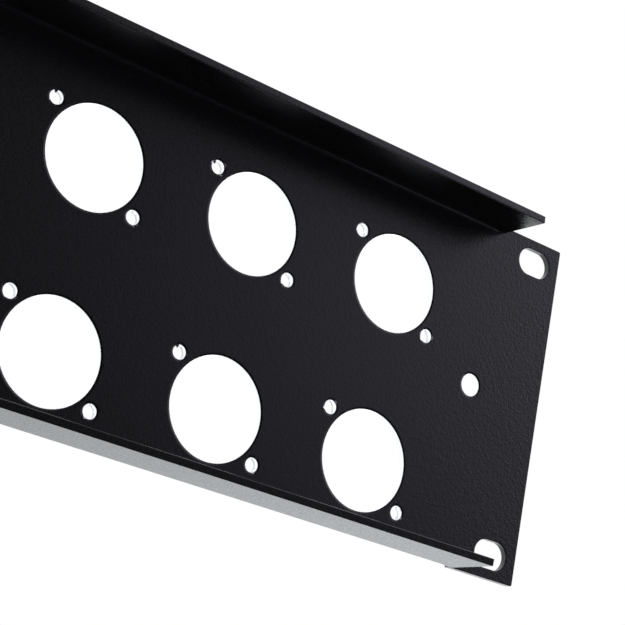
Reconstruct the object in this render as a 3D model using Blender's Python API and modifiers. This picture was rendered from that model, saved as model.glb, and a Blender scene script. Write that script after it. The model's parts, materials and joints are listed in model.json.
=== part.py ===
"""A 2U, 19-inch rack panel for twenty D-size connectors: one bent sheet of steel.

The web is the flat front of the panel, and runs out into an ear at each end. A flange is folded
back along the top of the web and another along the bottom. X runs along the panel, Y from its
front face to its back, and Z up. The origin is the centre of the front face.
"""

from math import cos, pi, radians, sin

import bmesh
import bpy
from mathutils import Matrix

MM = 0.001

# The sheet
PANEL_WIDTH = 482.6 * MM
PANEL_HEIGHT = 88.1 * MM
SHEET_THICKNESS = 1.8 * MM
BEND_INNER_RADIUS = 1.0 * MM
CORNER_RADIUS = 0.8 * MM  # at the ears' corners and the flanges' free corners

# The flanges
FLANGE_DEPTH = 15.0 * MM  # from the web's back face to the free edge
EAR_LENGTH = 19.8 * MM  # from the end of a flange to the end of the panel
RELIEF_WIDTH = 0.4 * MM  # slit between a flange's end and its ear
RELIEF_PAST_BEND = 0.4 * MM  # how far the slit runs on past the bend

# The connector cutouts
COLUMNS = 10
ROWS = 2
COLUMN_FROM_END = 50.95 * MM  # from the end of the panel to the first column
ROW_FROM_TOP = 25.95 * MM  # from the top edge to the upper row
ROW_FROM_BOTTOM = 18.05 * MM  # from the bottom edge to the lower row
CUTOUT_DIAMETER = 24.0 * MM

# The tapped holes, two to a cutout, on one diagonal
FIXING_DIAMETER = 3.3 * MM
FIXING_LAND = 1.655 * MM  # metal left between a cutout and its tapped hole
FIXING_ANGLE = radians(38.37)  # the diagonal's slope, rising towards +X

# The rack slots and the accessory holes in the ears
SLOT_LENGTH = 10.2 * MM
SLOT_WIDTH = 6.9 * MM
SLOT_FROM_END = 8.3 * MM
SLOT_FROM_EDGE = 5.95 * MM
ACCESSORY_DIAMETER = 5.5 * MM
ACCESSORY_FROM_END = 22.9 * MM
ACCESSORY_ABOVE_CENTRE = 1.0 * MM

# The finish
BLACK_COAT = (0.018, 0.018, 0.020, 1.0)
COAT_ROUGHNESS = 0.45

# Facets
BEND_SEGMENTS = 6
CORNER_SEGMENTS = 3
CUTOUT_SIDES = 40
SMALL_HOLE_SIDES = 16
FOLD_ANGLE = radians(45)  # only the folds are sharper than this
CUTTER_OVERRUN = 2.0 * MM  # how far a cutter stands out of the sheet

# Worked out from the sizes above
BEND_OUTER_RADIUS = BEND_INNER_RADIUS + SHEET_THICKNESS
RELIEF_DEPTH = BEND_OUTER_RADIUS + RELIEF_PAST_BEND
FREE_EDGE_Y = SHEET_THICKNESS + FLANGE_DEPTH
END_X = PANEL_WIDTH / 2
FLANGE_END_X = END_X - EAR_LENGTH
TOP_Z = PANEL_HEIGHT / 2
LOW_ROW_Z = ROW_FROM_BOTTOM - TOP_Z
ROW_PITCH = (TOP_Z - ROW_FROM_TOP - LOW_ROW_Z) / (ROWS - 1)
FIRST_COLUMN_X = COLUMN_FROM_END - END_X
COLUMN_PITCH = -2 * FIRST_COLUMN_X / (COLUMNS - 1)
FIXING_REACH = CUTOUT_DIAMETER / 2 + FIXING_LAND + FIXING_DIAMETER / 2
TOUCH = 0.001 * MM  # two places nearer than this are the same place


def clear_scene():
    for old in list(bpy.data.objects):
        bpy.data.objects.remove(old, do_unlink=True)


def new_collection(name):
    collection = bpy.data.collections.new(name)
    bpy.context.scene.collection.children.link(collection)
    return collection


def mesh_object(name, bm, collection):
    mesh = bpy.data.meshes.new(name)
    bm.to_mesh(mesh)
    bm.free()
    thing = bpy.data.objects.new(name, mesh)
    collection.objects.link(thing)
    return thing


def black_coat():
    material = bpy.data.materials.new("black_powder_coat")
    material.use_nodes = True
    shader = material.node_tree.nodes["Principled BSDF"]
    shader.inputs["Base Color"].default_value = BLACK_COAT
    shader.inputs["Roughness"].default_value = COAT_ROUGHNESS
    shader.inputs["Metallic"].default_value = 0.0
    return material


def web_outline():
    """The flat web with its ears and the slits that free the flanges' ends, as (x, z)."""
    slit_x = FLANGE_END_X + RELIEF_WIDTH
    root_z = TOP_Z - RELIEF_DEPTH
    quarter = [
        (FLANGE_END_X, TOP_Z),
        (FLANGE_END_X, root_z),
        (slit_x, root_z),
        (slit_x, TOP_Z),
        (END_X, TOP_Z),
    ]
    right = quarter + [(x, -z) for x, z in reversed(quarter)]
    left = [(-x, z) for x, z in reversed(right)]
    return right + left


def is_fold(edge):
    """Whether the edge runs along the top or bottom of the web, between the flange's ends."""
    along = all(abs(abs(vert.co.x) - FLANGE_END_X) < TOUCH for vert in edge.verts)
    return along and edge.calc_length() > FLANGE_END_X


def is_outer_corner(vert):
    on_ear = abs(abs(vert.co.x) - END_X) < TOUCH
    on_free_edge = abs(vert.co.y - FREE_EDGE_Y) < TOUCH
    return on_ear or on_free_edge


def score(bm, place, across):
    """Splits every face that the plane through place crosses, with nothing moved or removed."""
    everything = list(bm.verts) + list(bm.edges) + list(bm.faces)
    bmesh.ops.bisect_plane(bm, geom=everything, plane_co=place, plane_no=across)


def score_cells(bm):
    """Scores the web between its columns and between its rows, so each cutout is cut in a small face."""
    for column in range(COLUMNS + 1):
        score(bm, (FIRST_COLUMN_X + (column - 0.5) * COLUMN_PITCH, 0.0, 0.0), (1.0, 0.0, 0.0))
    for row in range(ROWS - 1):
        score(bm, (0.0, 0.0, LOW_ROW_Z + (row + 0.5) * ROW_PITCH), (0.0, 0.0, 1.0))


def sheet_skin():
    """The outside of the sheet with no thickness yet: the web and the two flanges, sharp folds."""
    bm = bmesh.new()
    bm.faces.new([bm.verts.new((x, 0.0, z)) for x, z in web_outline()])
    for fold in [edge for edge in bm.edges if is_fold(edge)]:
        made = bmesh.ops.extrude_edge_only(bm, edges=[fold])["geom"]
        rim = [item for item in made if isinstance(item, bmesh.types.BMVert)]
        bmesh.ops.translate(bm, verts=rim, vec=(0.0, FREE_EDGE_Y, 0.0))
    bmesh.ops.bevel(
        bm,
        geom=[vert for vert in bm.verts if is_outer_corner(vert)],
        offset=CORNER_RADIUS,
        offset_type="OFFSET",
        segments=CORNER_SEGMENTS,
        profile=0.5,
        affect="VERTICES",
    )
    bmesh.ops.recalc_face_normals(bm, faces=bm.faces)
    web = max(bm.faces, key=lambda face: face.calc_area())
    if web.normal.y > 0:
        bmesh.ops.reverse_faces(bm, faces=bm.faces)
    score_cells(bm)
    return bm


def cutout_places():
    """The centres of the connector cutouts, as (x, z)."""
    places = []
    for row in range(ROWS):
        for column in range(COLUMNS):
            x = FIRST_COLUMN_X + column * COLUMN_PITCH
            z = LOW_ROW_Z + row * ROW_PITCH
            places.append((x, z))
    return places


def fixing_places():
    """The tapped holes, one at each end of the diagonal through each cutout's centre."""
    across = FIXING_REACH * cos(FIXING_ANGLE)
    up = FIXING_REACH * sin(FIXING_ANGLE)
    places = []
    for x, z in cutout_places():
        places.append((x + across, z + up))
        places.append((x - across, z - up))
    return places


def slot_places():
    x = END_X - SLOT_FROM_END
    z = TOP_Z - SLOT_FROM_EDGE
    return [(x, z), (x, -z), (-x, z), (-x, -z)]


def accessory_places():
    x = END_X - ACCESSORY_FROM_END
    return [(x, ACCESSORY_ABOVE_CENTRE), (-x, ACCESSORY_ABOVE_CENTRE)]


def add_round_cutter(bm, x, z, diameter, sides):
    lie_along_y = Matrix.Rotation(pi / 2, 4, "X")
    bmesh.ops.create_cone(
        bm,
        cap_ends=True,
        segments=sides,
        radius1=diameter / 2,
        radius2=diameter / 2,
        depth=SHEET_THICKNESS + 2 * CUTTER_OVERRUN,
        matrix=Matrix.Translation((x, SHEET_THICKNESS / 2, z)) @ lie_along_y,
    )


def slot_outline():
    """A slot with two round ends about the origin, as (x, z)."""
    radius = SLOT_WIDTH / 2
    centre = SLOT_LENGTH / 2 - radius
    outline = []
    for side in (1, -1):
        for step in range(SMALL_HOLE_SIDES // 2 + 1):
            angle = -pi / 2 + 2 * pi * step / SMALL_HOLE_SIDES
            outline.append((side * (centre + radius * cos(angle)), side * radius * sin(angle)))
    return outline


def add_slot_cutter(bm, x, z):
    front = [bm.verts.new((x + dx, -CUTTER_OVERRUN, z + dz)) for dx, dz in slot_outline()]
    cap = bm.faces.new(front)
    made = bmesh.ops.extrude_face_region(bm, geom=[cap], use_keep_orig=True)["geom"]
    back = [item for item in made if isinstance(item, bmesh.types.BMVert)]
    depth = SHEET_THICKNESS + 2 * CUTTER_OVERRUN
    bmesh.ops.translate(bm, verts=back, vec=(0.0, depth, 0.0))


def round_cutter(name, places, diameter, sides, collection):
    bm = bmesh.new()
    for x, z in places:
        add_round_cutter(bm, x, z, diameter, sides)
    return mesh_object(name, bm, collection)


def slot_cutter(name, collection):
    bm = bmesh.new()
    for x, z in slot_places():
        add_slot_cutter(bm, x, z)
    bmesh.ops.recalc_face_normals(bm, faces=bm.faces)
    return mesh_object(name, bm, collection)


def make_cutters(collection):
    cutters = [
        round_cutter("cutouts", cutout_places(), CUTOUT_DIAMETER, CUTOUT_SIDES, collection),
        round_cutter("fixings", fixing_places(), FIXING_DIAMETER, SMALL_HOLE_SIDES, collection),
        round_cutter("accessories", accessory_places(), ACCESSORY_DIAMETER, SMALL_HOLE_SIDES, collection),
        slot_cutter("slots", collection),
    ]
    for cutter in cutters:
        cutter.hide_render = True
        cutter.display_type = "WIRE"
    return cutters


def make_panel(collection, cutters):
    panel = mesh_object("rack_panel", sheet_skin(), collection)
    panel.data.materials.append(black_coat())

    folds = panel.modifiers.new("folds", "BEVEL")
    folds.affect = "EDGES"
    folds.limit_method = "ANGLE"
    folds.angle_limit = FOLD_ANGLE
    folds.width = BEND_OUTER_RADIUS
    folds.segments = BEND_SEGMENTS

    sheet = panel.modifiers.new("sheet", "SOLIDIFY")
    sheet.thickness = SHEET_THICKNESS
    sheet.offset = -1.0
    sheet.use_even_offset = True

    for cutter in cutters:
        cut = panel.modifiers.new(cutter.name, "BOOLEAN")
        cut.operation = "DIFFERENCE"
        cut.solver = "EXACT"
        cut.object = cutter
    return panel


def main():
    clear_scene()
    parts = new_collection("rack_patch_panel")
    cutters = make_cutters(new_collection("cutters"))
    make_panel(parts, cutters)


main()
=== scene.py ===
import json
import random
from math import atan2, cos, exp, hypot, pi, radians, sin

import bmesh
import bpy
from mathutils import Matrix, Vector


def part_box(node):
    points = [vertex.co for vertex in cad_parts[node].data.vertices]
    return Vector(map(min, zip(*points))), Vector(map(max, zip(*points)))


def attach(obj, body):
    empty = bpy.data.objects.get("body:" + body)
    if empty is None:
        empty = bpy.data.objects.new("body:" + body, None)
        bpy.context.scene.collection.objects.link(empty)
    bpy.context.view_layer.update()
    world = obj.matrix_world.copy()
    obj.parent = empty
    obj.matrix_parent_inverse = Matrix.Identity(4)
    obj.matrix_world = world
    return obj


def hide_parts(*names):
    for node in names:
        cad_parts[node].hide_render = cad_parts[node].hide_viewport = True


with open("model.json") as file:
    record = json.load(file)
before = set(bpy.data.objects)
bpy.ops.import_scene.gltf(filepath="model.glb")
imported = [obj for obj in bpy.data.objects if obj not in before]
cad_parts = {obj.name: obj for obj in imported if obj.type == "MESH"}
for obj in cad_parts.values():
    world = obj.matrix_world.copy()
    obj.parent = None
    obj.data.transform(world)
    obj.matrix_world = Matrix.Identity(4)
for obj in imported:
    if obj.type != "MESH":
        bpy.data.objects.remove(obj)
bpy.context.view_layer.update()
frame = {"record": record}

mm = 0.001
tiny = 0.01 * mm                                   # closer than this, two points are the same place
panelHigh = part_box("rack_panel")[1]                # its highest corner at rest
openings = frame["record"]["physics"]["openings"]

# hole kinds, kept on the blank's points for the Geometry Nodes tree
outlinePoint, cutoutHole, tappedHole, accessoryHole, rackSlot = range(5)


def linear(hexColour):
    # sRGB hex to the linear values that shaders take
    channels = [int(hexColour[i:i + 2], 16) / 255 for i in (1, 3, 5)]
    return [c / 12.92 if c <= 0.04045 else ((c + 0.055) / 1.055) ** 2.4 for c in channels] + [1.0]


def addNode(tree, kind, inputs=None, **settings):
    # one node with its settings, and its inputs given as values or as sockets to link
    made = tree.nodes.new(kind)
    for name, value in settings.items():
        setattr(made, name, value)
    for key, value in (inputs or {}).items():
        severalLinks = isinstance(value, list) and isinstance(value[0], bpy.types.NodeSocket)
        for item in value if severalLinks else [value]:
            if isinstance(item, bpy.types.NodeSocket):
                tree.links.new(item, made.inputs[key])
            else:
                made.inputs[key].default_value = item
    return made


def newMaterial(name):
    material = bpy.data.materials.new(name)
    material.use_nodes = True
    tree = material.node_tree
    tree.nodes.clear()
    shader = addNode(tree, "ShaderNodeBsdfPrincipled")
    addNode(tree, "ShaderNodeOutputMaterial", {"Surface": shader.outputs["BSDF"]})
    return material, tree, shader


def newObject(name, mesh):
    made = bpy.data.objects.new(name, mesh)
    bpy.context.scene.collection.objects.link(made)
    return made


def newTree(name, sockets):
    # a Geometry Nodes tree with named inputs; gives the tree, its input node and its output node
    tree = bpy.data.node_groups.new(name, "GeometryNodeTree")
    tree.interface.new_socket("Geometry", in_out="INPUT", socket_type="NodeSocketGeometry")
    tree.interface.new_socket("Geometry", in_out="OUTPUT", socket_type="NodeSocketGeometry")
    for label, kind in sockets.items():
        tree.interface.new_socket(label, in_out="INPUT", socket_type="NodeSocket" + kind)
    return tree, addNode(tree, "NodeGroupInput"), addNode(tree, "NodeGroupOutput")


def settle(piece):
    # turns what the modifiers make into the piece's own plain mesh
    bpy.context.view_layer.update()
    shown = piece.evaluated_get(bpy.context.evaluated_depsgraph_get())
    mesh = bpy.data.meshes.new_from_object(shown)
    piece.modifiers.clear()
    piece.data = mesh
    mesh.name = piece.name


def runTree(piece, tree, values):
    modifier = piece.modifiers.new(tree.name, "NODES")
    modifier.node_group = tree
    for item in tree.interface.items_tree:
        if item.in_out == "INPUT" and item.name in values:
            modifier[item.identifier] = values[item.name]
    settle(piece)


camera = {
    "location": (54.14 * mm, 334.33 * mm, -117.51 * mm),
    "turn": (107.093, -10.172, 143.080),      # degrees
    "lens": 103.95,                           # mm, as the sensor's width is
    "sensor": 36.0,
    "clipStart": 10.0 * mm,
}


def placeCamera():
    data = bpy.data.cameras.new("productCamera")
    data.lens = camera["lens"]
    data.sensor_width = camera["sensor"]
    data.clip_start = camera["clipStart"]
    made = bpy.data.objects.new("productCamera", data)
    made.location = camera["location"]
    made.rotation_euler = [radians(angle) for angle in camera["turn"]]
    bpy.context.scene.collection.objects.link(made)
    bpy.context.scene.camera = made


placeCamera()
print("camera placed")

powderCoatLook = {
    "colour": "#0C0C0E",
    "speck": "#77777B",              # nibs of dust caught in the coat
    "speckSpacing": 11.0 * mm,
    "speckRadius": 0.16 * mm,
    "roughness": (0.25, 0.36),       # smooth crests, duller hollows
    "ior": 1.5,
    "peelWave": 1.0 * mm,            # the long wave of orange peel
    "peelHeight": 0.032 * mm,
    "grainWave": 0.46 * mm,          # grit of the baked powder, drawn coarser than it is so that it shows
    "grainHeight": 0.040 * mm,
    "calm": (190.0 * mm, 0.55),      # a distance from the panel's middle, and the texture's strength there
    "rough": (241.3 * mm, 1.90),     # the coat builds up towards the ends, and its texture with it
}


def blackPowderCoat():
    # Polyester powder, sprayed and baked: a nearly black satin film whose orange peel breaks up
    # every reflection.
    look = powderCoatLook
    material, tree, shader = newMaterial("blackPowderCoat")
    place = addNode(tree, "ShaderNodeTexCoord").outputs["Object"]
    peel = addNode(tree, "ShaderNodeTexNoise",
                   {"Vector": place, "Scale": 1 / look["peelWave"], "Detail": 1.0, "Roughness": 0.5})
    grain = addNode(tree, "ShaderNodeTexNoise",
                    {"Vector": place, "Scale": 1 / look["grainWave"], "Detail": 2.0, "Roughness": 0.6})
    along = addNode(tree, "ShaderNodeSeparateXYZ", {"Vector": place}).outputs["X"]
    reach = addNode(tree, "ShaderNodeMath", {0: along}, operation="ABSOLUTE").outputs[0]
    build = addNode(tree, "ShaderNodeMapRange",
                    {"Value": reach, "From Min": look["calm"][0], "From Max": look["rough"][0],
                     "To Min": look["calm"][1], "To Max": look["rough"][1]}).outputs["Result"]

    def raised(wave):
        height = addNode(tree, "ShaderNodeMath", {0: wave.outputs["Fac"], 1: build}, operation="MULTIPLY")
        return height.outputs[0]

    peelBump = addNode(tree, "ShaderNodeBump",
                       {"Height": raised(peel), "Distance": look["peelHeight"]})
    grainBump = addNode(tree, "ShaderNodeBump",
                        {"Height": raised(grain), "Distance": look["grainHeight"],
                         "Normal": peelBump.outputs["Normal"]})
    cells = addNode(tree, "ShaderNodeTexVoronoi", {"Vector": place, "Scale": 1 / look["speckSpacing"]})
    near = addNode(tree, "ShaderNodeMapRange",
                   {"Value": cells.outputs["Distance"], "To Min": 1.0, "To Max": 0.0,
                    "From Min": 0.5 * look["speckRadius"] / look["speckSpacing"],
                    "From Max": look["speckRadius"] / look["speckSpacing"]})
    tint = addNode(tree, "ShaderNodeMix",
                   {"Factor": near.outputs["Result"], 6: linear(look["colour"]), 7: linear(look["speck"])},
                   data_type="RGBA")
    tree.links.new(tint.outputs[2], shader.inputs["Base Color"])
    gloss = addNode(tree, "ShaderNodeMapRange",
                    {"Value": grain.outputs["Fac"], "From Min": 0.3, "From Max": 0.7,
                     "To Min": look["roughness"][0], "To Max": look["roughness"][1]})
    tree.links.new(gloss.outputs["Result"], shader.inputs["Roughness"])
    tree.links.new(grainBump.outputs["Normal"], shader.inputs["Normal"])
    shader.inputs["IOR"].default_value = look["ior"]
    return material


bareSteelLook = {
    "bright": "#F2F2F3",
    "dull": "#D2D2D4",
    "roughness": 0.24,
    "scratchWave": 0.12 * mm,        # burnish lines run through the sheet, along Y
    "scratchStretch": 0.06,          # the pattern's scale along Y against its scale across
    "scratchDepth": 0.004 * mm,
}


def barePunchedSteel():
    # Cold-rolled steel where a punch or a tap went through: bright, with burnish lines along the
    # tool's stroke.
    look = bareSteelLook
    material, tree, shader = newMaterial("barePunchedSteel")
    place = addNode(tree, "ShaderNodeTexCoord").outputs["Object"]
    along = addNode(tree, "ShaderNodeMapping",
                    {"Vector": place, "Scale": (1.0, look["scratchStretch"], 1.0)})
    lines = addNode(tree, "ShaderNodeTexNoise",
                    {"Vector": along.outputs["Vector"], "Scale": 1 / look["scratchWave"], "Detail": 3.0})
    tint = addNode(tree, "ShaderNodeMix",
                   {"Factor": lines.outputs["Fac"], 6: linear(look["dull"]), 7: linear(look["bright"])},
                   data_type="RGBA")
    bump = addNode(tree, "ShaderNodeBump",
                   {"Height": lines.outputs["Fac"], "Distance": look["scratchDepth"]})
    tree.links.new(tint.outputs[2], shader.inputs["Base Color"])
    tree.links.new(bump.outputs["Normal"], shader.inputs["Normal"])
    shader.inputs["Metallic"].default_value = 1.0
    shader.inputs["Roughness"].default_value = look["roughness"]
    return material


paperLook = {
    "colour": "#F2F2F3",
    "roughness": 0.9,
    "fibreWave": 2.5 * mm,
    "fibreHeight": 0.05 * mm,
}


def paleMattPaper():
    # Seamless studio paper, rolled and matt: it gives no highlight, only a soft pale ground.
    look = paperLook
    material, tree, shader = newMaterial("paleMattPaper")
    place = addNode(tree, "ShaderNodeTexCoord").outputs["Object"]
    fibres = addNode(tree, "ShaderNodeTexNoise",
                     {"Vector": place, "Scale": 1 / look["fibreWave"], "Detail": 2.0})
    bump = addNode(tree, "ShaderNodeBump",
                   {"Height": fibres.outputs["Fac"], "Distance": look["fibreHeight"]})
    tree.links.new(bump.outputs["Normal"], shader.inputs["Normal"])
    shader.inputs["Base Color"].default_value = linear(look["colour"])
    shader.inputs["Roughness"].default_value = look["roughness"]
    return material


coat = blackPowderCoat()
steel = barePunchedSteel()
paper = paleMattPaper()
print("materials made")

panel = {
    "thickness": 1.8 * mm,
    "bendRadius": 1.0 * mm,          # inside the bend
    "bendSegments": 10,
    "cornerRadius": 0.5 * mm,
    "cornerSegments": 5,
    "earLength": 19.8 * mm,
    "reliefWidth": 0.4 * mm,         # the slit that frees each flange from the ears
    "reliefInset": 1.1 * mm,         # the slit is cut this far inside the flange's free end
    "tightRadius": 1.95 * mm,        # outside the bend at its ends, where the short slit pinches it
    "tightLength": 2.6 * mm,
    "tightSteps": 4,
    "cutoutDiameter": 24.0 * mm,
    "cutoutSegments": 120,
    "tappedDiameter": 3.3 * mm,
    "tappedAcross": 12.0 * mm,       # from the cutout's centre to each tapped hole
    "tappedUp": 9.5 * mm,
    "accessoryDiameter": 5.5 * mm,
    "accessoryFromEnd": 22.9 * mm,
    "accessoryUp": 1.0 * mm,
    "slotLength": 10.2 * mm,
    "slotWidth": 6.9 * mm,
    "smallSegments": 36,
    "slotEndSegments": 9,
    "rimRing": 0.7 * mm,             # a band of square faces round each hole, for a clean edge
    "coatedEdge": 0.12 * mm,         # coat rounds the sheet's outer edges
    "coatedEdgeSegments": 3,
    "slotEdge": 0.35 * mm,           # the punch drew the slots' front edges in with it
    "slotEdgeSegments": 4,
    "burrEdge": 0.26 * mm,           # the inner edge of each flange's free end is rounded more
    "burrEdgeSegments": 5,
    "shearSlant": 0.13 * mm,         # the shear left the free ends a little out of square
    "punchedEdge": 0.07 * mm,        # the punch leaves the holes nearly sharp
    "punchedEdgeSegments": 1,
    "creaseAngle": radians(50),      # sharper than this, an edge is rounded and shaded as an edge
    "chipSeed": 11,
    "chipsPerHole": (1, 3),
    "chipDepth": (0.12 * mm, 0.55 * mm),
    "chipSpread": (0.12, 0.34),      # radians round the rim
    "rimWaver": 0.05 * mm,           # and the rest of the rim is this uneven
}

bendOuter = panel["bendRadius"] + panel["thickness"]
flangeEnd = panelHigh.x - panel["earLength"]
flangeRoot = flangeEnd - panel["reliefInset"]


def bendRadiusAt(x):
    # outside radius of the bend, which the slit pinches over its last millimetres
    share = min(1.0, (flangeRoot - abs(x)) / panel["tightLength"])
    share = share * share * (3 - 2 * share)
    return panel["tightRadius"] + (bendOuter - panel["tightRadius"]) * share


def bendStations():
    # the bend's cross sections from its end inwards
    steps = panel["tightSteps"]
    return [flangeRoot - panel["tightLength"] * i / steps for i in range(steps + 1)]


def openingCentres(prefix):
    # (x, z) of the frame's openings whose names start so
    centres = []
    for opening in openings:
        if opening["name"].startswith(prefix):
            low, high = opening["box_m"]
            centres.append(((low[0] + high[0]) / 2, (low[2] + high[2]) / 2))
    return centres


def holePlaces():
    # every hole's centre, by kind
    cutouts = openingCentres("cutout_")
    tapped = [(x + side * panel["tappedAcross"], z + side * panel["tappedUp"])
              for x, z in cutouts for side in (1, -1)]
    accessoryX = panelHigh.x - panel["accessoryFromEnd"]
    return {
        cutoutHole: cutouts,
        tappedHole: tapped,
        accessoryHole: [(side * accessoryX, panel["accessoryUp"]) for side in (1, -1)],
        rackSlot: openingCentres("rack_slot_"),
    }


def webOutline():
    # anticlockwise from the upper corner of the ear at +X: ears, relief slits and bend lines
    radius = panel["cornerRadius"]
    steps = panel["cornerSegments"]
    top = panelHigh.z
    slitEdge = flangeRoot + panel["reliefWidth"]
    quarter = [(panelHigh.x - radius + radius * cos(pi / 2 * i / steps),
                top - radius + radius * sin(pi / 2 * i / steps)) for i in range(steps + 1)]
    quarter += [(slitEdge, top), (slitEdge, top - panel["tightRadius"])]
    quarter += [(x, top - bendRadiusAt(x)) for x in bendStations()]
    upper = quarter + [(-x, z) for x, z in reversed(quarter)]
    return upper + [(-x, -z) for x, z in upper]


def blankTree():
    # fills the outline, with a hole of the right kind round each loose point
    tree, source, result = newTree("sheetBlank", {
        "Cutout Radius": "Float", "Cutout Segments": "Int", "Tapped Radius": "Float",
        "Accessory Radius": "Float", "Small Segments": "Int", "Slot Length": "Float",
        "Slot Width": "Float", "Coat": "Material"})
    given = source.outputs
    kind = addNode(tree, "GeometryNodeInputNamedAttribute", {"Name": "holeKind"}, data_type="INT")

    def circle(radius, segments):
        return addNode(tree, "GeometryNodeCurvePrimitiveCircle",
                       {"Resolution": given[segments], "Radius": given[radius]}).outputs["Curve"]

    bar = addNode(tree, "GeometryNodeCurvePrimitiveQuadrilateral",
                  {"Width": given["Slot Length"], "Height": given["Slot Width"]})
    almostHalf = 0.4999                  # so that the two corners of an end don't meet in one point
    endRadius = addNode(tree, "ShaderNodeMath",
                        {0: given["Slot Width"], 1: almostHalf}, operation="MULTIPLY")
    slotCurve = addNode(tree, "GeometryNodeFilletCurve",
                        {"Curve": bar.outputs["Curve"], "Count": panel["slotEndSegments"],
                         "Radius": endRadius.outputs[0], "Limit Radius": True}, mode="POLY")
    shapes = {
        cutoutHole: circle("Cutout Radius", "Cutout Segments"),
        tappedHole: circle("Tapped Radius", "Small Segments"),
        accessoryHole: circle("Accessory Radius", "Small Segments"),
        rackSlot: slotCurve.outputs["Curve"],
    }
    curves = [addNode(tree, "GeometryNodeMeshToCurve", {"Mesh": given["Geometry"]}).outputs["Curve"]]
    for number, shape in shapes.items():
        chosen = addNode(tree, "FunctionNodeCompare", {2: kind.outputs["Attribute"], 3: number},
                         data_type="INT", operation="EQUAL")
        spread = addNode(tree, "GeometryNodeInstanceOnPoints",
                         {"Points": given["Geometry"], "Selection": chosen.outputs["Result"],
                          "Instance": shape})
        curves.append(spread.outputs["Instances"])
    joined = addNode(tree, "GeometryNodeJoinGeometry", {"Geometry": curves})
    real = addNode(tree, "GeometryNodeRealizeInstances", {"Geometry": joined.outputs["Geometry"]})
    filled = addNode(tree, "GeometryNodeFillCurve", {"Curve": real.outputs["Geometry"]}, mode="NGONS")
    coated = addNode(tree, "GeometryNodeSetMaterial",
                     {"Geometry": filled.outputs["Mesh"], "Material": given["Coat"]})
    tree.links.new(coated.outputs["Geometry"], result.inputs["Geometry"])
    return tree


def makeBlank(places):
    # the flat web: an outline of edges, with a loose point at each hole's centre
    outline = webOutline()
    points = [(x, z, 0.0) for x, z in outline]
    kinds = [outlinePoint] * len(points)
    for kind, centres in places.items():
        points += [(x, z, 0.0) for x, z in centres]
        kinds += [kind] * len(centres)
    mesh = bpy.data.meshes.new("rack_panel_skin")
    mesh.from_pydata(points, [(i, (i + 1) % len(outline)) for i in range(len(outline))], [])
    mesh.attributes.new("holeKind", "INT", "POINT").data.foreach_set("value", kinds)
    blank = newObject("rack_panel_skin", mesh)
    ring = panel["rimRing"]
    runTree(blank, blankTree(), {
        "Cutout Radius": panel["cutoutDiameter"] / 2 + ring,
        "Cutout Segments": panel["cutoutSegments"],
        "Tapped Radius": panel["tappedDiameter"] / 2 + ring,
        "Accessory Radius": panel["accessoryDiameter"] / 2 + ring,
        "Small Segments": panel["smallSegments"],
        "Slot Length": panel["slotLength"] + 2 * ring,
        "Slot Width": panel["slotWidth"] + 2 * ring,
        "Coat": coat,
    })
    return blank


holeRadius = {
    cutoutHole: panel["cutoutDiameter"] / 2,
    tappedHole: panel["tappedDiameter"] / 2,
    accessoryHole: panel["accessoryDiameter"] / 2,
    rackSlot: panel["slotWidth"] / 2,
}


def holeAxis(vert, kind, x, z):
    # the hole's centre, or for a slot the nearest point of its middle line
    if kind == rackSlot:
        reach = (panel["slotLength"] - panel["slotWidth"]) / 2
        x = min(max(vert.co.x, x - reach), x + reach)
    return Vector((x, 0.0, z))


def ringHoles(bm, places):
    # a band of square faces from each filled edge in to the hole's true size
    def owner(vert):
        for kind, centres in places.items():
            for x, z in centres:
                axis = holeAxis(vert, kind, x, z)
                if abs((vert.co - axis).length - holeRadius[kind] - panel["rimRing"]) < tiny:
                    return kind, axis
        return None

    edges = [e for e in bm.edges if e.is_boundary and owner(e.verts[0]) and owner(e.verts[1])]
    grown = bmesh.ops.extrude_edge_only(bm, edges=edges)
    for vert in [g for g in grown["geom"] if isinstance(g, bmesh.types.BMVert)]:
        kind, axis = owner(vert)
        vert.co = axis + (vert.co - axis).normalized() * holeRadius[kind]


def foldFlange(bm, side):
    # rows of points from the web's bend line round the bend, then straight back to the free edge
    top = panelHigh.z

    def onBend(vert):
        start = side * (top - bendRadiusAt(vert.co.x))
        return abs(vert.co.x) < flangeRoot + tiny and abs(vert.co.z - start) < tiny

    row = sorted([v for v in bm.verts if onBend(v)], key=lambda v: v.co.x)
    steps = panel["bendSegments"]
    for i in range(1, steps + 2):
        angle = min(i / steps, 1.0) * pi / 2
        spread = max(0.0, 3 * angle / (pi / 2) - 2)      # in the bend's last third it grows over the slit
        following = []
        for vert in row:
            x = vert.co.x
            if vert in (row[0], row[-1]):
                x = (flangeRoot + (flangeEnd - flangeRoot) * spread) * (1 if x > 0 else -1)
            radius = bendRadiusAt(x) if abs(x) < flangeRoot else panel["tightRadius"]
            y = radius * (1 - cos(angle)) if i <= steps else panelHigh.y
            z = top - radius + radius * sin(angle)
            following.append(bm.verts.new((x, y, side * z)))
        for j in range(len(row) - 1):
            bm.faces.new((row[j], row[j + 1], following[j + 1], following[j]))
        row = following


def foldSheet(piece, places):
    # stands the blank up, opens its holes, folds both flanges and gives the sheet its thickness
    bm = bmesh.new()
    bm.from_mesh(piece.data)
    bmesh.ops.transform(bm, matrix=Matrix.Rotation(pi / 2, 4, "X"), verts=bm.verts)
    bmesh.ops.remove_doubles(bm, verts=bm.verts, dist=tiny)
    ringHoles(bm, places)
    for side in (1, -1):
        foldFlange(bm, side)
    bmesh.ops.recalc_face_normals(bm, faces=bm.faces)
    widest = max(bm.faces, key=lambda face: face.calc_area())
    if widest.normal.y > 0:                       # the web's outer skin looks to the front
        bmesh.ops.reverse_faces(bm, faces=bm.faces)
    bm.to_mesh(piece.data)
    bm.free()
    wall = piece.modifiers.new("sheetThickness", "SOLIDIFY")
    wall.thickness = panel["thickness"]
    wall.offset = -1.0
    wall.use_even_offset = True
    settle(piece)


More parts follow.
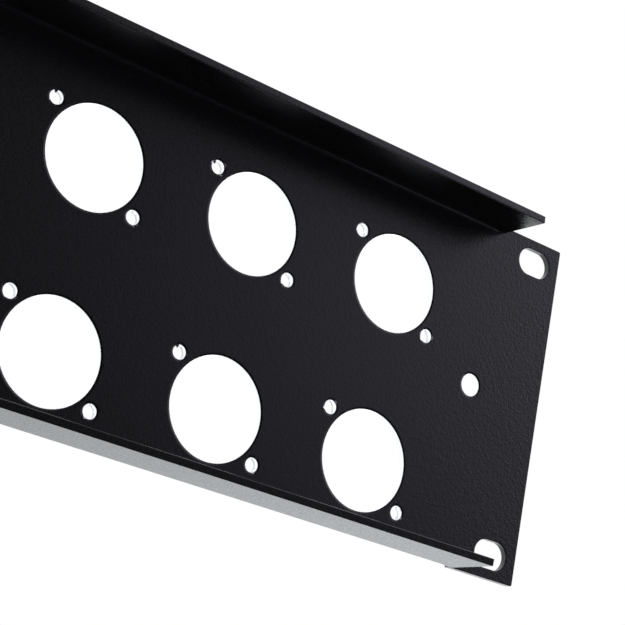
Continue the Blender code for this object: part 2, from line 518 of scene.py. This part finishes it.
def punchedAt(vert, punched):
    # the punched or tapped hole whose wall this vertex is on, if any
    for x, z, radius in punched:
        if abs(hypot(vert.co.x - x, vert.co.z - z) - radius) < tiny:
            return x, z, radius
    return None


def inSlot(vert, x, z):
    acrossSlot = abs(vert.co.x - x) < panel["slotLength"] / 2 + tiny
    return acrossSlot and abs(vert.co.z - z) < panel["slotWidth"] / 2 + tiny


def chipRims(bm, tapped):
    # the tap tore small chips of coat off round each tapped hole, on the side that it came out
    chance = random.Random(panel["chipSeed"])
    outerRim = panel["tappedDiameter"] / 2 + panel["punchedEdge"]
    for x, z in tapped:
        chips = [(chance.uniform(-pi, pi),
                  chance.uniform(*panel["chipDepth"]),
                  chance.uniform(*panel["chipSpread"]))
                 for _ in range(chance.randint(*panel["chipsPerHole"]))]
        for vert in bm.verts:
            across = hypot(vert.co.x - x, vert.co.z - z)
            if vert.co.y < panel["thickness"] - tiny or abs(across - outerRim) > 3 * tiny:
                continue
            angle = atan2(vert.co.z - z, vert.co.x - x)
            depth = 0.0
            for middle, deepest, spread in chips:
                turn = (angle - middle + pi) % (2 * pi) - pi
                depth = max(depth, deepest * exp(-(turn / spread) ** 2))
            depth += chance.uniform(0.0, panel["rimWaver"])
            vert.co.x += (vert.co.x - x) / across * depth
            vert.co.z += (vert.co.z - z) / across * depth


def finishEdges(piece, places):
    # rounds each kind of edge as its process left it, and bares the steel in the round holes
    coatIndex, steelIndex = 0, 1
    piece.data.materials.clear()
    piece.data.materials.append(coat)
    piece.data.materials.append(steel)
    punched = [(x, z, holeRadius[kind]) for kind in (cutoutHole, tappedHole, accessoryHole)
               for x, z in places[kind]]
    bm = bmesh.new()
    bm.from_mesh(piece.data)
    free = [v for v in bm.verts if v.co.y > panelHigh.y - tiny]
    for vert in free:
        if abs(vert.co.z) > panelHigh.z - tiny:
            vert.co.y -= panel["shearSlant"]
    burrs = [e for e in bm.edges
             if all(v in free and abs(v.co.z) < panelHigh.z - tiny for v in e.verts)
             and abs(e.verts[0].co.z - e.verts[1].co.z) < tiny]
    rims, drawn, outer = [], [], []
    sharp = [e for e in bm.edges
             if e.is_manifold and e.calc_face_angle() > panel["creaseAngle"] and e.is_convex]
    for edge in sharp:
        owner = punchedAt(edge.verts[0], punched)
        if owner and owner == punchedAt(edge.verts[1], punched):
            rims.append(edge)
        elif edge.verts[0].co.y < tiny and any(inSlot(edge.verts[0], *slot) for slot in places[rackSlot]):
            drawn.append(edge)
        elif edge not in burrs:
            outer.append(edge)
    for edge in rims:
        wallFace = min(edge.link_faces, key=lambda face: abs(face.normal.y))
        wallFace.material_index = steelIndex

    def rounded(edges, width, segments, material):
        bmesh.ops.bevel(bm, geom=[e for e in edges if e.is_valid], offset=width, offset_type="OFFSET",
                        segments=segments, profile=0.5, affect="EDGES", material=material)

    rounded(rims, panel["punchedEdge"], panel["punchedEdgeSegments"], steelIndex)
    chipRims(bm, places[tappedHole])
    rounded(drawn, panel["slotEdge"], panel["slotEdgeSegments"], coatIndex)
    rounded(burrs, panel["burrEdge"], panel["burrEdgeSegments"], coatIndex)
    rounded(outer, panel["coatedEdge"], panel["coatedEdgeSegments"], coatIndex)
    bm.to_mesh(piece.data)
    bm.free()
    piece.data.shade_smooth()
    piece.data.set_sharp_from_angle(angle=panel["creaseAngle"])
    even = piece.modifiers.new("evenNormals", "WEIGHTED_NORMAL")
    even.mode = "FACE_AREA"
    even.weight = 100
    even.keep_sharp = True
    settle(piece)


places = holePlaces()
skin = makeBlank(places)
foldSheet(skin, places)
finishEdges(skin, places)
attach(skin, "root")
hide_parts("rack_panel")
print("panel folded:", len(skin.data.polygons), "faces")


def pointCloud(name, centres):
    # loose points at the holes, halfway through the sheet
    mesh = bpy.data.meshes.new(name)
    mesh.from_pydata([(x, panel["thickness"] / 2, z) for x, z in centres], [], [])
    return newObject(name, mesh)


def scatterTree(name):
    # a form at some of the points, each turned about Y by chance
    tree, source, result = newTree(name, {
        "Form": "Object", "Turn From": "Float", "Turn To": "Float", "Share": "Float", "Seed": "Int",
        "Finish": "Material"})
    given = source.outputs
    form = addNode(tree, "GeometryNodeObjectInfo", {"Object": given["Form"], "As Instance": True})
    turn = addNode(tree, "FunctionNodeRandomValue",
                   {2: given["Turn From"], 3: given["Turn To"], "Seed": given["Seed"]}, data_type="FLOAT")
    shareSeed = addNode(tree, "FunctionNodeIntegerMath", {0: given["Seed"], 1: 2}, operation="ADD")
    chosen = addNode(tree, "FunctionNodeRandomValue",
                     {"Probability": given["Share"], "Seed": shareSeed.outputs[0]}, data_type="BOOLEAN")
    euler = addNode(tree, "ShaderNodeCombineXYZ", {"Y": turn.outputs[1]})
    rotation = addNode(tree, "FunctionNodeEulerToRotation", {"Euler": euler.outputs["Vector"]})
    spread = addNode(tree, "GeometryNodeInstanceOnPoints",
                     {"Points": given["Geometry"], "Selection": chosen.outputs[3],
                      "Instance": form.outputs["Geometry"], "Rotation": rotation.outputs["Rotation"]})
    real = addNode(tree, "GeometryNodeRealizeInstances", {"Geometry": spread.outputs["Instances"]})
    finished = addNode(tree, "GeometryNodeSetMaterial",
                       {"Geometry": real.outputs["Geometry"], "Material": given["Finish"]})
    tree.links.new(finished.outputs["Geometry"], result.inputs["Geometry"])
    return tree


curls = {
    "length": 0.85 * mm,             # how far a curl of coat reaches into its hole
    "width": 1.05 * mm,
    "thickness": 0.10 * mm,
    "thinned": 0.6,                  # of the thickness is gone at the tip
    "tapered": 0.75,                 # of the width is gone at the tip
    "pointed": 0.25,                 # its sides are this much shorter than its middle
    "lift": 0.25 * mm,
    "wave": 0.8,                     # of a half turn, in that lift
    "droop": 0.3 * mm,
    "rooted": 0.12 * mm,             # its root lies this deep in the rim
    "drop": 0.25 * mm,               # and this far under the back face
    "direction": 48.0,               # degrees from +X towards +Z, where the tap threw them
    "scatter": 38.0,
    "share": 0.5,                    # of each cutout's upper tapped holes have one
    "seed": 198,
    "steps": 6,
    "across": 4,
    "creaseAngle": radians(60),
}


def curlForm():
    # a torn tongue of coat that roots in the rim at +X and curls into the hole
    steps, across = curls["steps"], curls["across"]
    root = panel["tappedDiameter"] / 2 + curls["rooted"]
    depth = panel["thickness"] / 2 - curls["drop"]
    bm = bmesh.new()
    sheets = []
    for layer in (0.5, -0.5):
        rows = []
        for i in range(steps + 1):
            t = i / steps
            row = []
            for j in range(across + 1):
                s = j / across - 0.5
                x = root - curls["length"] * (t - curls["pointed"] * t * abs(2 * s))
                y = curls["lift"] * sin(pi * t * curls["wave"]) - curls["droop"] * t * t
                y += layer * curls["thickness"] * (1 - curls["thinned"] * t)
                z = curls["width"] * s * (1 - curls["tapered"] * t * t)
                row.append(bm.verts.new((x, y + depth, z)))
            rows.append(row)
        sheets.append(rows)
    for rows in sheets:
        for i in range(steps):
            for j in range(across):
                bm.faces.new((rows[i][j], rows[i + 1][j], rows[i + 1][j + 1], rows[i][j + 1]))
    border = [(i, 0) for i in range(steps)] + [(steps, j) for j in range(across)]
    border += [(i, across) for i in range(steps, 0, -1)] + [(0, j) for j in range(across, 0, -1)]
    upper, lower = sheets
    for (i, j), (m, n) in zip(border, border[1:] + border[:1]):
        bm.faces.new((upper[i][j], upper[m][n], lower[m][n], lower[i][j]))
    bmesh.ops.recalc_face_normals(bm, faces=bm.faces)
    mesh = bpy.data.meshes.new("curlForm")
    bm.to_mesh(mesh)
    bm.free()
    mesh.shade_smooth()
    mesh.set_sharp_from_angle(angle=curls["creaseAngle"])
    return newObject("curlForm", mesh)


curlBase = curlForm()
upperTapped = places[tappedHole][::2]               # the upper one at each cutout
coatCurls = pointCloud("coat_curls", upperTapped)
middle = -radians(curls["direction"])               # a turn about +Y carries +X towards -Z
runTree(coatCurls, scatterTree("scatterOnHoles"), {
    "Form": curlBase, "Turn From": middle - radians(curls["scatter"]),
    "Turn To": middle + radians(curls["scatter"]),
    "Share": curls["share"], "Seed": curls["seed"], "Finish": coat})
bpy.data.objects.remove(curlBase)
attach(coatCurls, "root")
print("coat curls left:", len(coatCurls.data.polygons), "faces")


studio = {
    "floorHeight": -250.0 * mm,
    "floorSize": 12.0,
    "background": "#FFFFFF",
    # levels go with direction: a pair gives a direction along X and the level there
    "frontBright": (-0.80, 2.20),    # the white cove behind the panel
    "frontDim": (-0.35, 1.40),
    "rearBright": (-0.85, 1.29),     # the studio on the camera's side
    "rearDim": (-0.375, 0.0),
    "rearRise": (0.02, 0.77),        # its level grows between these heights, from nothing
    "rearRiseTo": 3.0,
    "turn": (-0.20, 0.25),           # directions along Y where the cove gives way to the studio
    "topFrom": (0.55, 0.85),         # heights where the soft box overhead takes over
    "topLevel": 1.10,
    "lowFrom": (0.1, -0.2),          # heights where the room under the table takes over
    "lowLevel": 0.03,
    "rearTint": "#EEEAFF",           # a little violet
    "frontTint": "#F8FCFF",
}


def makeFloor():
    bpy.ops.mesh.primitive_plane_add(size=studio["floorSize"], location=(0, 0, studio["floorHeight"]))
    floor = bpy.context.object
    floor.name = "studio_floor"
    floor.data.materials.append(paper)
    floor.visible_glossy = False                    # the coat reflects the cove's own levels instead


def makeWorld():
    # white to the camera; the light itself is bright behind and above the panel, dim on the camera's side
    world = bpy.data.worlds.new("whiteCove")
    bpy.context.scene.world = world
    world.use_nodes = True
    tree = world.node_tree
    tree.nodes.clear()
    direction = addNode(tree, "ShaderNodeTexCoord").outputs["Generated"]
    axes = addNode(tree, "ShaderNodeSeparateXYZ", {"Vector": direction}).outputs

    def ramp(axis, start, end, low=0.0, high=1.0, kind="SMOOTHSTEP"):
        ranged = addNode(tree, "ShaderNodeMapRange",
                         {"Value": axes[axis], "From Min": start, "From Max": end,
                          "To Min": low, "To Max": high}, interpolation_type=kind)
        return ranged.outputs["Result"]

    def mix(share, first, second):
        mixed = addNode(tree, "ShaderNodeMix", {"Factor": share, 2: first, 3: second}, data_type="FLOAT")
        return mixed.outputs[0]

    def across(bright, dim):
        return ramp("X", bright[0], dim[0], bright[1], dim[1], "LINEAR")

    front = across(studio["frontBright"], studio["frontDim"])
    rise = ramp("Z", *studio["rearRise"], 0.0, studio["rearRiseTo"], "LINEAR")
    rear = addNode(tree, "ShaderNodeMath", {0: across(studio["rearBright"], studio["rearDim"]), 1: rise},
                   operation="MULTIPLY").outputs[0]
    rear = mix(ramp("Z", *studio["topFrom"]), rear, studio["topLevel"])
    rear = mix(ramp("Z", *studio["lowFrom"]), rear, studio["lowLevel"])
    towardsRear = ramp("Y", *studio["turn"])
    tint = addNode(tree, "ShaderNodeMix",
                   {"Factor": towardsRear, 6: linear(studio["frontTint"]), 7: linear(studio["rearTint"])},
                   data_type="RGBA")
    cove = addNode(tree, "ShaderNodeBackground",
                   {"Color": tint.outputs[2], "Strength": mix(towardsRear, front, rear)})
    backdrop = addNode(tree, "ShaderNodeBackground", {"Color": linear(studio["background"])})
    rays = addNode(tree, "ShaderNodeLightPath").outputs["Is Camera Ray"]
    mixed = addNode(tree, "ShaderNodeMixShader",
                    {0: rays, 1: cove.outputs["Background"], 2: backdrop.outputs["Background"]})
    addNode(tree, "ShaderNodeOutputWorld", {"Surface": mixed.outputs["Shader"]})


makeFloor()
makeWorld()
bpy.context.scene.view_settings.view_transform = "Standard"
print("studio lit")
